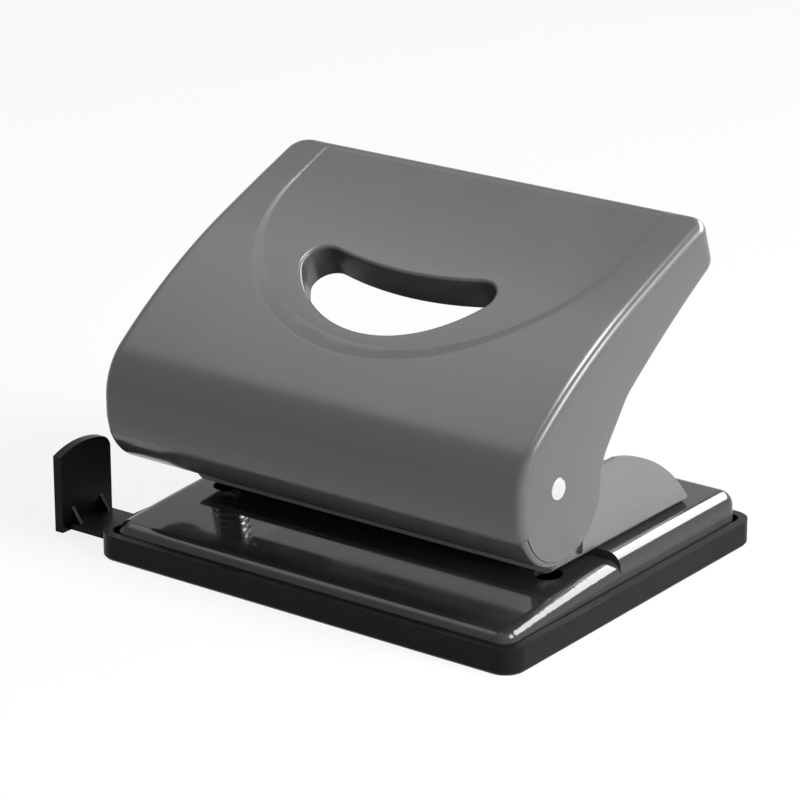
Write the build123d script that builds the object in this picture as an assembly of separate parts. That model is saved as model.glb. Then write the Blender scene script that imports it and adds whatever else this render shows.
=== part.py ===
from build123d import *
from math import asin, cos, degrees, pi, radians, sin, sqrt
import os

# Two-hole desk punch. Millimetres, +Z up. The origin is the middle of the tray's underside,
# +X is the user's right hand and -Y is the front, where the paper goes in.

# Holes that the tool makes, and where they lie
hole_spacing = 80.0
hole_margin = 12.0
punch_y = -14.9
punch_radius = 2.75
punch_fit = 0.05
die_fit = 0.08

# Chip tray
tray_depth = 87.0
tray_height = 5.4
tray_corner = 4.5
tray_wall = 1.9
tray_floor = 1.4
tray_foot_side = 0.4
tray_foot_rise = 0.5
tray_ledge_top = 3.4
tray_ledge_lap = 0.7
rail_end = 12.0
rail_width = 1.2
rail_drop = 0.4

# Base plate
plate_sheet = 1.2
plate_shoulder = 5.0
plate_play = 0.2
plate_corner = 4.0
plate_side_lean = 3.0
plate_edge_round = 3.0
deck_front_z = 6.9
deck_mid_z = 8.7
deck_stop_z = 9.7
deck_rear_z = 11.4

# Punch frame
frame_sheet = 1.2
frame_side_margin = 4.2
frame_front_lap = 4.5
frame_back = 28.5
frame_bend = 2.0
arch_top = 28.9
arch_back_y = 2.0
arch_front_y = -3.5
shoulder_y = 20.6
shoulder_z = 20.6
arm_top = 27.0
arm_bottom_front = -20.9
cheek_front = -9.4
pivot_boss = 6.0

# Handle outline, seen from the right
pivot_y = -28.2
pivot_z = 33.3
roll_y = -26.3
roll_z = 30.95
roll_radius = 13.9
brow_y = -35.4
brow_z = 43.7
face_mid_y = -3.0
face_mid_share = 0.644
face_bulge = 1.32
crown_y = 23.8
crown_z = 73.6
handle_end_run = 3.3
handle_end_drop = 9.1
back_sag = 0.7
hollow_y = -4.2
hollow_z = 44.4
neck_y = -10.6
neck_z = 36.1
brow_round = 10.0
hollow_round = 8.0
nose_corner = 4.5

# Handle cover
cover_sheet = 2.2
cover_side_sheet = 2.0
cover_edge_round = 1.8
seam_z = 25.8
recess_side_margin = 8.3
recess_depth = 1.4
recess_top_depth = 0.2
recess_bottom_s = 9.0
recess_centre_s = 56.0
recess_top_s = 64.0
slot_half_width = 22.8
slot_bottom_s = 16.2
slot_centre_s = 30.4
slot_top_s = 33.3
slot_horn_s = 36.9
slot_horn_x = 22.3
slot_round = 3.8
collar_wall = 1.5
collar_depth = 8.0
boss_overlap = 0.5
opening_depth = 8.0

# Handle lever
lever_sheet = 1.2
lever_gap = 0.1
lever_edge_round = 0.9
roll_end_angle = 292.0
roll_inset = 0.2
ear_edge = 0.7
ear_top = 47.0
lever_top_s = 12.2
ear_split = 2.0
ear_back = 10.0
ear_end_inset = 0.4
seam_lap = 1.0
lap_angle = 176.0
lap_turn = 2.0
seam_opening = 0.4
joggle_turn = 5.0

# Press bar, pins and washers
bar_radius = 2.2
bar_gap = 0.1
pin_radius = 2.2
pin_fit = 0.05
pin_proud = 0.4
pin_head_radius = 3.2
pin_head_height = 0.8
washer_radius = 5.0
washer_sheet = 0.7
washer_play = 0.05
pin_boss_radius = 5.0
pin_boss_length = 2.7
pin_end_round = 0.5
bar_overhang = 0.6
bar_end_edge = 0.4

# Punch, clip, spring and upper guide
punch_tip_inset = 0.1
punch_top = 33.95
punch_tip_hollow = 2.45
punch_head_edge = 0.5
clip_bottom = 23.6
clip_sheet = 0.7
clip_radius = 4.2
clip_mouth = 3.7
clip_groove_depth = 0.45
clip_fit = 0.03
clip_play = 0.1
spring_wire = 0.7
spring_turns = 6
spring_clearance = 0.45
spring_seat_play = 0.08
bridge_sheet = 1.2
bridge_width = 10.4
bridge_tenon = 6.0
bridge_fit = 0.03

# Fasteners
rivet_radius = 1.5
rivet_head_radius = 2.7
rivet_head_height = 0.9
rivet_head_round = 0.6
rivet_fit = 0.02
rivet_inset = 10.0
rivet_front_y = 6.0
rivet_back_y = 21.0
screw_radius = 1.1
screw_head_radius = 3.0
screw_head_height = 1.4
screw_head_edge = 0.4
screw_cross = 2.6
screw_cross_width = 0.7
screw_cross_depth = 0.7
screw_skin = 1.4
screw_hole_skin = 1.0
screw_boss_radius = 2.4
screw_boss_gap = 0.15
screw_s = 5.6
screw_inset = 9.0
screw_fit = 0.02

# Paper guide
guide_open = 11.8
guide_plate_sheet = 2.0
guide_plate_depth = 15.4
guide_plate_top = 19.0
guide_foot = 1.0
guide_arm_width = 12.0
guide_setback = 17.4
guide_arm_sheet = 1.2
guide_arm_end = -8.0
guide_fit = 0.1
guide_crest_round = 0.9
guide_front_drop = 1.6
guide_back_drop = 3.2
gusset_inset = 1.6
gusset_sheet = 0.8
gusset_reach = 2.6
gusset_rise = 3.6
join = 0.2

# How far a cutting body reaches past what it cuts, and a distance beyond every part
past = 1.0
far = 120.0

# Places that follow from the sizes above
punch_x = hole_spacing / 2
frame_side = punch_x + frame_side_margin
cheek_inner = frame_side - frame_sheet
ear_inner = frame_side + washer_sheet + 2 * washer_play
ear_outer = ear_inner + lever_sheet
cover_inner = ear_outer + pin_boss_length
handle_side = cover_inner + cover_side_sheet
recess_half_width = handle_side - recess_side_margin
plate_side = frame_side + plate_shoulder
tray_width = 2 * (plate_side + plate_play + tray_wall)
plate_front = tray_wall + plate_play - tray_depth / 2
plate_back = tray_depth / 2 - tray_wall - plate_play
guide_plate_inner = -tray_width / 2 - guide_open
guide_arm_back = guide_setback - tray_depth / 2
rivet_x = punch_x - rivet_inset
screw_spacing = punch_x - screw_inset
stop_y = punch_y + hole_margin
face_mid_z = brow_z + face_mid_share * (crown_z - brow_z)
heel_y = crown_y + handle_end_run
heel_z = crown_z - handle_end_drop
frame_bottom = deck_rear_z
frame_top = frame_bottom + frame_sheet
frame_front = punch_y - frame_front_lap
bridge_bottom = clip_bottom + clip_sheet + clip_play
arm_bottom = bridge_bottom
bar_y = punch_y
bar_z = punch_top + bar_gap + bar_radius
pin_end = handle_side + pin_proud
spring_radius = punch_radius + spring_clearance + spring_wire / 2
guide_y = guide_arm_back - guide_arm_width / 2
guide_arm_front = guide_arm_back - guide_arm_width
guide_arm_bottom = tray_floor + guide_fit
guide_arm_top = guide_arm_bottom + guide_arm_sheet
screw_depth = cover_sheet + 2 * lever_gap + lever_sheet
lever_outset = cover_sheet + lever_gap
roll_out = roll_radius - roll_inset

# Sections in the YZ plane are drawn on this plane and pushed out along X
side_plane = Plane(origin=(0, 0, 0), x_dir=(0, 1, 0), z_dir=(1, 0, 0))


def slab(face, low, high):
    """Push a YZ face along X, from x = low to x = high."""
    return extrude(Pos(low, 0, 0) * face, amount=high - low, dir=(1, 0, 0))


def block(low, high):
    """A box between two corners."""
    size = [b - a for a, b in zip(low, high)]
    middle = [(a + b) / 2 for a, b in zip(low, high)]
    return Pos(*middle) * Box(*size)


def rod(radius, x_low, x_high, y, z):
    """A round rod along X."""
    disc = Plane(origin=(x_low, y, z), x_dir=(0, 1, 0), z_dir=(1, 0, 0)) * Circle(radius)
    return extrude(disc, amount=x_high - x_low)


def post(radius, x, y, z_low, z_high):
    """A round post along Z."""
    return extrude(Pos(x, y, z_low) * Circle(radius), amount=z_high - z_low)


def window(y_low, z_low, y_high, z_high):
    """A rectangle in a side view."""
    middle = ((y_low + y_high) / 2, (z_low + z_high) / 2)
    return Pos(*middle) * Rectangle(y_high - y_low, z_high - z_low)


def write(name, shape):
    """Give the shape its node's name and write it."""
    pieces = shape if isinstance(shape, list) else [shape]
    solids = [solid for piece in pieces for solid in piece.solids()]
    whole = solids[0] if len(solids) == 1 else Compound(children=solids)
    whole.label = name
    export_step(whole, f"parts/{name}.step")


# Base plate: a pressed tray upside down, with a sloping deck in front and a flat one behind

def plate_block(inset):
    """The plate's outer form without its decks, set in by inset."""
    width = 2 * (plate_side - inset)
    depth = plate_back - plate_front - 2 * inset
    middle = (plate_back + plate_front) / 2
    outline = Pos(0, middle, 0) * RectangleRounded(width, depth, plate_corner - inset)
    return extrude(outline, amount=deck_rear_z + past, taper=plate_side_lean)


def front_deck(drop, back_y):
    """The plate in front of back_y, under its sloping deck."""
    low_y = plate_front - past
    mid_y = (low_y + stop_y) / 2
    front = (low_y, deck_front_z - drop)
    stop = (stop_y, deck_stop_z - drop)
    slope = ThreePointArc(front, (mid_y, deck_mid_z - drop), stop)
    rest = Polyline(stop, (back_y, deck_stop_z - drop), (back_y, -past), (low_y, -past), front)
    return slab(side_plane * make_face(Wire([slope] + rest.edges())), -tray_width, tray_width)


def rear_deck(drop):
    """The plate behind the paper stop, under its flat deck."""
    return block((-tray_width, stop_y + drop, -past), (tray_width, tray_depth, deck_rear_z - drop))


def rounded_rim(shape, across, radius):
    """Round the edges where the sides meet a deck, but not those across the plate at the y given."""
    rim = ShapeList()
    for edge in shape.edges():
        box = edge.bounding_box()
        flat_across = box.size.Y < 0.01 and min(abs(box.min.Y - y) for y in across) < 0.01
        if box.min.Z > tray_ledge_top and not flat_across:
            rim.append(edge)
    return fillet(rim, radius)


def plate_form(inset):
    """The plate's outer form with its decks, set in by inset."""
    joint_y = stop_y + plate_corner
    radius = plate_edge_round - inset
    front = plate_block(inset) & front_deck(inset, joint_y)
    rear = plate_block(inset) & rear_deck(inset)
    return rounded_rim(front, (stop_y, joint_y), radius) + rounded_rim(rear, (stop_y + inset,), radius)


def base_plate():
    plate = plate_form(0) - plate_form(plate_sheet)
    plate -= block((-tray_width, -tray_depth, -past), (tray_width, tray_depth, tray_ledge_top))
    for x in (-punch_x, punch_x):
        plate -= post(punch_radius + die_fit, x, punch_y, 0, deck_rear_z)
    for x, y in rivet_places():
        plate -= post(rivet_radius + rivet_fit, x, y, 0, frame_top)
    return plate


def rivet_places():
    return [(x, y) for x in (-rivet_x, rivet_x) for y in (rivet_front_y, rivet_back_y)]


def frame_rivets():
    """Four rivets that hold the punch frame on the rear deck."""
    rivets = []
    plate_under = deck_rear_z - plate_sheet
    for x, y in rivet_places():
        shank = post(rivet_radius, x, y, plate_under, frame_top)
        upper = post(rivet_head_radius, x, y, frame_top, frame_top + rivet_head_height)
        upper = fillet(upper.edges().group_by(Axis.Z)[-1], rivet_head_round)
        lower = post(rivet_head_radius, x, y, plate_under - rivet_head_height, plate_under)
        rivets.append(shank + upper + lower)
    return rivets


# Chip tray: a shallow plastic box, with a ledge that the plate's skirt stands on

def chip_tray():
    outline = RectangleRounded(tray_width, tray_depth, tray_corner)
    body = extrude(outline, amount=tray_height)
    body = chamfer(body.edges().group_by(Axis.Z)[0], tray_foot_rise, tray_foot_side)
    wall = RectangleRounded(tray_width - 2 * tray_wall, tray_depth - 2 * tray_wall, tray_corner - tray_wall)
    body -= extrude(Pos(0, 0, tray_ledge_top) * wall, amount=tray_height)
    pocket_side = plate_side - tray_ledge_lap
    pocket_front = plate_front + tray_ledge_lap
    pocket_back = plate_back - plate_sheet - tray_ledge_lap
    pocket_middle = (pocket_front + pocket_back) / 2
    pocket = Pos(0, pocket_middle, tray_floor) * RectangleRounded(
        2 * pocket_side, pocket_back - pocket_front, plate_corner - tray_ledge_lap)
    body -= extrude(pocket, amount=tray_height)
    body -= block(
        (-tray_width, guide_arm_front - guide_fit, tray_floor),
        (rail_end, guide_arm_back + guide_fit, guide_arm_top + guide_fit),
    )
    rail_low = guide_arm_back + guide_fit
    body += block(
        (-pocket_side, rail_low, tray_floor),
        (rail_end, rail_low + rail_width, tray_ledge_top - rail_drop),
    )
    return body


# Paper guide: a flat arm in the tray's side with an upright end plate

def paper_guide():
    outer = guide_plate_inner - guide_plate_sheet
    front = guide_y - guide_plate_depth / 2
    back = guide_y + guide_plate_depth / 2
    crest = guide_plate_top
    corner = (back - 2 * guide_crest_round, crest - guide_crest_round)
    outline = Wire([
        Line((front, guide_foot), (front, crest - guide_front_drop)),
        ThreePointArc((front, crest - guide_front_drop), (guide_y - 1.0, crest), corner),
        TangentArc(corner, (back, crest - guide_back_drop), tangent=(2, -1)),
        Line((back, crest - guide_back_drop), (back, guide_foot)),
        Line((back, guide_foot), (front, guide_foot)),
    ])
    guide = slab(side_plane * make_face(outline), outer, guide_plate_inner)
    guide += block(
        (outer + guide_plate_sheet / 2, guide_arm_front, guide_arm_bottom),
        (guide_arm_end, guide_arm_back, guide_arm_top),
    )
    low = guide_arm_top - join
    side = guide_plate_inner - join
    gusset = make_face(Polyline(
        (side, low), (side + gusset_reach, low), (side, low + gusset_rise), close=True))
    for y in (guide_arm_front + gusset_inset, guide_arm_back - gusset_inset):
        place = Plane(origin=(0, y + gusset_sheet / 2, 0), x_dir=(1, 0, 0), z_dir=(0, -1, 0))
        guide += extrude(place * gusset, amount=gusset_sheet)
    return guide


# Punch frame: one sheet folded up at both sides, with an arm over each punch to its pivot

def cheek_outline():
    """The side view of one folded-up side: a foot, an arch, and an arm with a boss at the pivot."""
    arch_start = (frame_back, frame_top)
    arch_end = (arch_back_y, arch_top)
    arch = make_face(Wire([
        Line((frame_back, frame_bottom), arch_start),
        ThreePointArc(arch_start, (shoulder_y, shoulder_z), arch_end),
        Line(arch_end, (arch_front_y, arch_top)),
        Line((arch_front_y, arch_top), (cheek_front, arm_top)),
        Line((cheek_front, arm_top), (cheek_front, frame_bottom)),
        Line((cheek_front, frame_bottom), (frame_back, frame_bottom)),
    ]))
    foot = window(frame_front, frame_bottom, cheek_front + frame_bend, frame_top)
    arm = make_face(Polyline(
        (pivot_y, pivot_z + pivot_boss),
        (bar_y - 2 * bar_radius, arm_top),
        (cheek_front + frame_bend, arm_top),
        (cheek_front + frame_bend, arm_bottom),
        (arm_bottom_front, arm_bottom),
        (pivot_y, pivot_z - pivot_boss),
        close=True,
    ))
    boss = Pos(pivot_y, pivot_z) * Circle(pivot_boss)
    return arch + foot + arm + boss


def punch_frame():
    high = 2 * arch_top
    outer = Pos(0, frame_bottom + high / 2) * Rectangle(2 * frame_side, high)
    outer = fillet(outer.vertices().group_by(Axis.Y)[0], frame_bend)
    inner = Pos(0, frame_top + high / 2) * Rectangle(2 * cheek_inner, high)
    inner = fillet(inner.vertices().group_by(Axis.Y)[0], frame_bend - frame_sheet)
    section = Plane(origin=(0, -tray_depth / 2, 0), x_dir=(1, 0, 0), z_dir=(0, -1, 0)) * (outer - inner)
    channel = extrude(section, amount=-tray_depth)
    frame = channel & slab(side_plane * cheek_outline(), -tray_width, tray_width)
    for x in (-punch_x, punch_x):
        frame -= post(punch_radius + punch_fit, x, punch_y, frame_bottom - past, frame_top + past)
    for x, y in rivet_places():
        frame -= post(rivet_radius + rivet_fit, x, y, frame_bottom - past, frame_top + past)
    frame -= rod(pin_radius + pin_fit, -tray_width, tray_width, pivot_y, pivot_z)
    frame -= block(
        (-tray_width, punch_y - bridge_tenon / 2 - bridge_fit, bridge_bottom - bridge_fit),
        (tray_width, punch_y + bridge_tenon / 2 + bridge_fit, bridge_bottom + bridge_sheet + bridge_fit),
    )
    return frame


def guide_bridge():
    """A strap between the arms that guides the upper ends of both punches."""
    low = bridge_bottom
    high = bridge_bottom + bridge_sheet
    inner = cheek_inner - bridge_fit
    half = bridge_width / 2
    tenon = bridge_tenon / 2
    bridge = block((-inner, punch_y - half, low), (inner, punch_y + half, high))
    bridge += block((-frame_side, punch_y - tenon, low), (frame_side, punch_y + tenon, high))
    for x in (-punch_x, punch_x):
        bridge -= post(punch_radius + punch_fit, x, punch_y, low - past, high + past)
    return bridge


# Punches, with a clip in a groove and a return spring under the clip

def punch(x):
    tip = frame_bottom + punch_tip_inset
    clip_top = clip_bottom + clip_sheet
    body = post(punch_radius, x, punch_y, tip, punch_top)
    groove = post(punch_radius + past, x, punch_y, clip_bottom, clip_top)
    groove -= post(punch_radius - clip_groove_depth, x, punch_y, clip_bottom, clip_top)
    body -= groove
    head_edge = body.edges().filter_by(GeomType.CIRCLE).group_by(Axis.Z)[-1]
    body = chamfer(head_edge, punch_head_edge)
    return body - Pos(x, punch_y, tip) * Sphere(punch_tip_hollow)


def retaining_clip(x):
    inner = punch_radius - clip_groove_depth + clip_fit
    clip_top = clip_bottom + clip_sheet - clip_fit
    ring = post(clip_radius, x, punch_y, clip_bottom, clip_top)
    ring -= post(inner, x, punch_y, clip_bottom - past, clip_top + past)
    mouth = block(
        (x - clip_mouth / 2, punch_y, clip_bottom - past),
        (x + clip_mouth / 2, punch_y + clip_radius + past, clip_top + past),
    )
    return ring - mouth


def biarc(start, start_way, end, end_way):
    """Two arcs that leave start along start_way and reach end along end_way."""
    chord = end - start
    along = chord.dot(start_way + end_way)
    turn = 1 - start_way.dot(end_way)
    reach = (-along + sqrt(along ** 2 + 2 * turn * chord.dot(chord))) / (2 * turn)
    middle = (start + start_way * reach + end - end_way * reach) * 0.5
    first = Edge.make_tangent_arc(start, start_way, middle)
    return [first, Edge.make_tangent_arc(middle, first % 1, end)]


def return_spring(x):
    """A coil round the punch from the frame to the clip, in quarter turns."""
    low = frame_top + spring_wire / 2 + spring_seat_play
    high = clip_bottom - spring_wire / 2 - spring_seat_play
    pitch = (high - low) / spring_turns
    steps = 4 * spring_turns
    points = []
    ways = []
    for step in range(steps + 1):
        angle = step * pi / 2
        points.append(Vector(
            x + spring_radius * cos(angle), punch_y + spring_radius * sin(angle), low + pitch * step / 4))
        ways.append(Vector(-sin(angle), cos(angle), pitch / (2 * pi * spring_radius)).normalized())
    edges = []
    for here in range(steps):
        edges += biarc(points[here], ways[here], points[here + 1], ways[here + 1])
    path = Wire(edges)
    section = Plane(origin=points[0], z_dir=ways[0]) * Circle(spring_wire / 2)
    return sweep(section, path=path), path


def least_gap(path):
    """How near the coil comes to itself, read on points of its middle line."""
    per_turn = 24
    count = per_turn * spring_turns
    points = [path @ (step / count) for step in range(count + 1)]
    apart = [
        (points[i] - points[j]).length
        for i in range(count + 1)
        for j in range(i + per_turn // 2, count + 1)
    ]
    return min(apart) - spring_wire


# Handle: a plastic cover over a steel lever, both turning on two pins in the frame

def raised_arc(start, end, rise):
    """An arc between two points of a side view, raised by rise to the left of its chord."""
    chord = end - start
    top = (start + end) * 0.5 + Vector(-chord.Y, chord.X).normalized() * rise
    return ThreePointArc(start, top, end)


def sloping_face():
    """The handle's sloping face in side view: two arcs, from the brow to the crown."""
    middle = Vector(face_mid_y, face_mid_z)
    lower = raised_arc(Vector(brow_y, brow_z), middle, face_bulge)
    return lower, TangentArc(middle, (crown_y, crown_z), tangent=lower % 1)


def handle_face(inset=0.0):
    """The handle seen from the right, set in by inset."""
    left = (roll_y - roll_radius, roll_z)
    front = (roll_y - roll_radius, pivot_z)
    right = (roll_y + roll_radius, roll_z)
    neck = (neck_y, neck_z)
    hollow = Vector(hollow_y, hollow_z)
    heel = Vector(heel_y, heel_z)
    lower, upper = sloping_face()
    outline = Wire([
        Line(left, front),
        TangentArc(front, (brow_y, brow_z), tangent=(0, 1)),
        lower,
        upper,
        Line((crown_y, crown_z), heel),
        raised_arc(hollow, heel, back_sag),
        Line(hollow, neck),
        TangentArc(right, neck, tangent=(0, 1)),
        ThreePointArc(right, (roll_y, roll_z - roll_radius), left),
    ])
    face = make_face(outline)
    for corner_y, radius in ((brow_y, brow_round), (hollow_y, hollow_round)):
        face = fillet([v for v in face.vertices() if abs(v.X - corner_y) < 0.01], radius)
    if inset:
        face = offset(face, amount=-inset)
    return face


def ring_sector(inner, outer, low_angle, high_angle):
    """Part of a flat ring round the roll's centre, between two angles in degrees."""
    points = []
    for angle in (low_angle, (low_angle + high_angle) / 2, high_angle):
        way = (cos(radians(angle)), sin(radians(angle)))
        points.append([(roll_y + radius * way[0], roll_z + radius * way[1]) for radius in (inner, outer)])
    (low_in, low_out), (mid_in, mid_out), (high_in, high_out) = points
    return make_face(Wire([
        ThreePointArc(low_in, mid_in, high_in),
        Line(high_in, high_out),
        ThreePointArc(high_out, mid_out, low_out),
        Line(low_out, low_in),
    ]))


def face_point(s, depth):
    """A point below the handle's sloping face: s along it from the brow, and its outward direction."""
    lower, upper = sloping_face()
    arc, along = (lower, s) if s < lower.length else (upper, s - lower.length)
    point = arc @ (along / arc.length)
    uphill = arc % (along / arc.length)
    way = Vector(0, -uphill.Y, uphill.X)
    return Vector(0, point.X, point.Y) - way * depth, way


def face_plane(s, depth=0.0):
    """A plane that touches the handle's face at s, with its X across and its Y up the slope."""
    point, way = face_point(s, depth)
    return Plane(origin=point, x_dir=(1, 0, 0), z_dir=way)


# The face plane at this s is the one that the recess and the slot are drawn on
drawing_s = 32.0


def seam_angle():
    """Where the cover ends on the roll, in degrees round its centre."""
    return 180 + degrees(asin((roll_z - seam_z) / roll_radius))


def cover_opening():
    """The open back and underside of the cover, in side view."""
    end_way = Vector(heel_y - crown_y, heel_z - crown_z).normalized()
    inward = Vector(end_way.Y, -end_way.X)
    corner = Vector(heel_y, heel_z) - end_way * (cover_edge_round + past) + inward * cover_sheet
    below = corner + end_way * far / 2
    return make_face(Polyline(
        (corner.X, corner.Y),
        (below.X, below.Y),
        (roll_y, -roll_z),
        (roll_y, roll_z),
        (hollow_y - opening_depth, hollow_z),
        (hollow_y, hollow_z + opening_depth),
        close=True,
    ))


def slot_outline(grow=0.0):
    """The finger slot as drawn on the face, or the same outline set out by grow."""
    base = slot_centre_s - drawing_s
    low = slot_bottom_s - drawing_s
    horn = slot_horn_s - drawing_s
    mid = slot_top_s - drawing_s
    outline = Wire([
        ThreePointArc((-slot_half_width, base), (0, low), (slot_half_width, base)),
        Line((slot_half_width, base), (slot_horn_x, horn)),
        ThreePointArc((slot_horn_x, horn), (0, mid), (-slot_horn_x, horn)),
        Line((-slot_horn_x, horn), (-slot_half_width, base)),
    ])
    face = fillet(make_face(outline).vertices(), slot_round)
    if grow:
        face = offset(face, amount=grow)
    return face


def recess_cut():
    """What the shallow D-shaped recess takes off the face: it is deepest at its foot."""
    lower, upper = sloping_face()
    base = recess_centre_s - drawing_s
    low = recess_bottom_s - drawing_s
    high = lower.length + upper.length + past - drawing_s
    half = recess_half_width
    outline = make_face(Wire([
        ThreePointArc((-half, base), (0, low), (half, base)),
        Line((half, base), (half, high)),
        Line((half, high), (-half, high)),
        Line((-half, high), (-half, base)),
    ]))
    prism = extrude(face_plane(drawing_s) * outline, amount=opening_depth, both=True)
    foot, joint = recess_bottom_s, lower.length
    places = []
    for s in (foot, (foot + joint) / 2, joint, recess_top_s):
        fade = (1 - (s - foot) / (recess_top_s - foot)) ** 2
        point, way = face_point(s, recess_top_depth + (recess_depth - recess_top_depth) * fade)
        places.append((point.Y, point.Z))
    before, _ = face_point(0.0, recess_depth)
    beyond = Vector(*places[-1]) + Vector(way.Z, -way.Y) * far
    floor = ThreePointArc(*places[:3])
    section = Wire([
        floor,
        TangentArc(places[2], places[3], tangent=floor % 1),
        Line(places[3], beyond),
        Line(beyond, (before.Y, beyond.Y)),
        Line((before.Y, beyond.Y), (before.Y, before.Z)),
        Line((before.Y, before.Z), places[0]),
    ])
    return prism & slab(side_plane * make_face(section), -tray_width, tray_width)


def screw_places():
    """A plane at each screw, on the face and square to it."""
    point, way = face_point(screw_s, 0.0)
    return [
        Plane(origin=point + Vector(x, 0, 0), x_dir=(1, 0, 0), z_dir=way)
        for x in (-screw_spacing, 0.0, screw_spacing)
    ]


def cover_body():
    """The handle as one solid: rounded off at both corners of its end, then along its rims."""
    body = slab(side_plane * handle_face(), -handle_side, handle_side)
    end_way = Vector(0, heel_y - crown_y, heel_z - crown_z).normalized()
    corners = ShapeList()
    for edge in body.edges():
        if abs(edge.center().Y - (crown_y + heel_y) / 2) < 0.01 and abs(end_way.dot(edge % 0.5)) > 0.99:
            corners.append(edge)
    body = fillet(corners, nose_corner)
    rims = ShapeList()
    for edge in body.edges():
        middle = edge @ 0.5
        outer = abs(abs(middle.X) - handle_side) < 0.01 or middle.Y > crown_y - nose_corner
        if outer and abs(end_way.dot(edge % 0.5)) < 0.99:
            rims.append(edge)
    return fillet(rims, cover_edge_round)


def handle_cover():
    cover = cover_body()
    inside = handle_face(cover_sheet) + cover_opening()
    cover -= slab(side_plane * inside, -cover_inner, cover_inner)
    outside = roll_radius + past
    band = ring_sector(roll_out - lever_sheet - lever_gap, outside, seam_angle(), roll_end_angle + 1.0)
    cover -= slab(side_plane * band, -tray_width, tray_width)
    wall = ring_sector(roll_radius - cover_sheet - past, outside, seam_angle(), roll_end_angle)
    cover -= slab(side_plane * wall, -cover_inner, cover_inner)
    cover -= recess_cut()
    collar = extrude(face_plane(drawing_s) * slot_outline(collar_wall), amount=-collar_depth)
    cover += collar & slab(side_plane * handle_face(cover_sheet / 2), -cover_inner, cover_inner)
    cover -= extrude(face_plane(drawing_s) * slot_outline(), amount=3 * collar_depth, both=True)
    boss = rod(pin_boss_radius, ear_outer + lever_gap, cover_inner + boss_overlap, pivot_y, pivot_z)
    cover += boss
    cover += mirror(boss, Plane.YZ)
    cover -= rod(pin_radius + pin_fit, -tray_width, tray_width, pivot_y, pivot_z)
    for place in screw_places():
        boss = extrude(Circle(screw_boss_radius), amount=screw_depth - cover_sheet / 2)
        cover += place * Pos(0, 0, -screw_depth) * boss
        hole = extrude(Circle(screw_radius + screw_fit), amount=screw_depth - screw_hole_skin + past)
        cover -= place * Pos(0, 0, -screw_depth - past) * hole
    return cover


def cover_screws():
    """Three screws that clamp the lever against the cover's bosses."""
    screws = []
    for place in screw_places():
        under = Pos(0, 0, -screw_depth - screw_head_height)
        head = extrude(Circle(screw_head_radius), amount=screw_head_height)
        head = chamfer(head.edges().group_by(Axis.Z)[0], screw_head_edge)
        cross = Box(screw_cross, screw_cross_width, 2 * screw_cross_depth)
        cross += Box(screw_cross_width, screw_cross, 2 * screw_cross_depth)
        shank = Pos(0, 0, -screw_depth) * extrude(Circle(screw_radius), amount=screw_depth - screw_skin)
        screws.append(place * (under * (head - cross) + shank))
    return screws


def lever_panel():
    """The part of the lever that lies under the cover's front, in side view."""
    sheet = handle_face(lever_outset) - handle_face(lever_outset + lever_sheet)
    inner, _ = face_point(lever_top_s, roll_radius)
    outer, _ = face_point(lever_top_s, -past)
    within = make_face(Polyline(
        (-far, roll_z),
        (roll_y, roll_z),
        (inner.Y, inner.Z),
        (outer.Y, outer.Z),
        (-far, outer.Z),
        close=True,
    ))
    under_seam = roll_radius - lever_outset
    lap = ring_sector(under_seam - lever_sheet, under_seam, lap_angle, seam_angle() + lap_turn)
    joggle = ring_sector(
        under_seam - lever_sheet, roll_out, seam_angle() + seam_opening, seam_angle() + joggle_turn)
    return (sheet & within) + lap + joggle


def lever_ear():
    """The side view of an ear: it stays inside the cover and comes near the cover's open back."""
    split = roll_y + ear_split
    ear = handle_face(lever_outset) & window(-far, seam_z + seam_lap, split, ear_top)
    ear += handle_face(ear_edge) & window(split - join, 0.0, ear_back, ear_top)
    ear += ring_sector(seam_lap, roll_out - ear_end_inset, seam_angle() + 1.0, roll_end_angle)
    return ear


def lever_roll():
    """The rolled front edge below the seam, as wide as the cover."""
    side = handle_side - roll_inset
    band = ring_sector(roll_out - lever_sheet, roll_out, seam_angle(), roll_end_angle)
    roll = slab(side_plane * band, -side, side)
    rims = ShapeList()
    for edge in roll.edges():
        middle = edge @ 0.5
        at_end = abs(abs(middle.X) - side) < 0.01
        reach = (middle - Vector(middle.X, roll_y, roll_z)).length
        if at_end and abs(reach - roll_out) < 0.05:
            rims.append(edge)
    return fillet(rims, lever_edge_round)


def handle_lever():
    """One steel sheet: a front panel under the cover, the roll below it, and an ear at each side."""
    within = cover_inner - lever_gap
    lever = slab(side_plane * lever_panel(), -within, within)
    lever += lever_roll()
    lever += slab(side_plane * lever_ear(), ear_inner, ear_outer)
    lever += slab(side_plane * lever_ear(), -ear_outer, -ear_inner)
    lever -= rod(pin_radius + pin_fit, -tray_width, tray_width, pivot_y, pivot_z)
    lever -= rod(bar_radius + pin_fit, -tray_width, tray_width, bar_y, bar_z)
    for place in screw_places():
        hole = extrude(Circle(screw_boss_radius + screw_boss_gap), amount=2 * screw_depth)
        lever -= place * Pos(0, 0, -2 * screw_depth) * hole
    return lever


def press_bar():
    """The rod across both ears that pushes the punches down."""
    end = ear_outer + bar_overhang
    bar = rod(bar_radius, -end, end, bar_y, bar_z)
    return chamfer(bar.edges().filter_by(GeomType.CIRCLE), bar_end_edge)


def pivot_pin():
    """The right pin, headed inside the frame's side and proud of the cover."""
    shank = rod(pin_radius, cheek_inner - pin_head_height / 2, pin_end, pivot_y, pivot_z)
    shank = fillet(shank.edges().group_by(Axis.X)[-1], pin_end_round)
    return shank + rod(pin_head_radius, cheek_inner - pin_head_height, cheek_inner, pivot_y, pivot_z)


def pivot_washer():
    low = frame_side + washer_play
    high = ear_inner - washer_play
    ring = rod(washer_radius, low, high, pivot_y, pivot_z)
    return ring - rod(pin_radius + pin_fit, low - past, high + past, pivot_y, pivot_z)


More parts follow.
